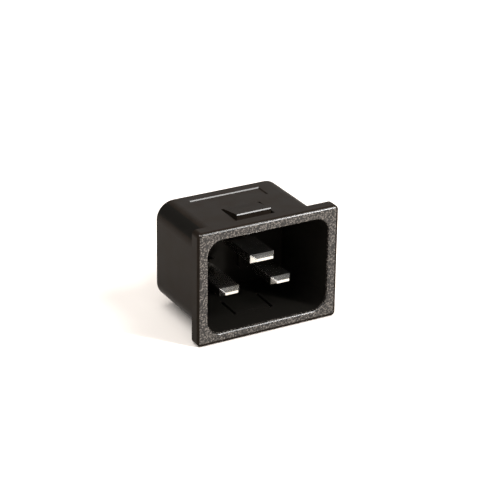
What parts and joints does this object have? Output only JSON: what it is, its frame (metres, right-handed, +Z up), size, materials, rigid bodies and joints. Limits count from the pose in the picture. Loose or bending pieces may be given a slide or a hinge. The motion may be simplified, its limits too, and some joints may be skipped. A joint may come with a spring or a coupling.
{
  "type": "snap-in panel power inlet",
  "caption": "Black snap-in panel inlet with a rounded rectangular recess, flat metal blades and push-on rear terminals.",
  "frame": {"origin": "on the front face of the panel, at the middle of the panel cutout", "axes": "+X right as seen from the front, +Y back through the panel, +Z up"},
  "size_m": [0.035, 0.0315, 0.027],
  "materials": {
    "housing_plastic": "moulded, with a fine spark texture on the flange front",
    "plate_plastic": "moulded, smooth",
    "blade_metal": "bright nickel plating"
  },
  "bodies": {
    "root": {"housing": "housing_plastic", "retaining_plate": "plate_plastic", "line_blade": "blade_metal", "neutral_blade": "blade_metal", "earth_blade": "blade_metal"}
  },
  "joints": []
}
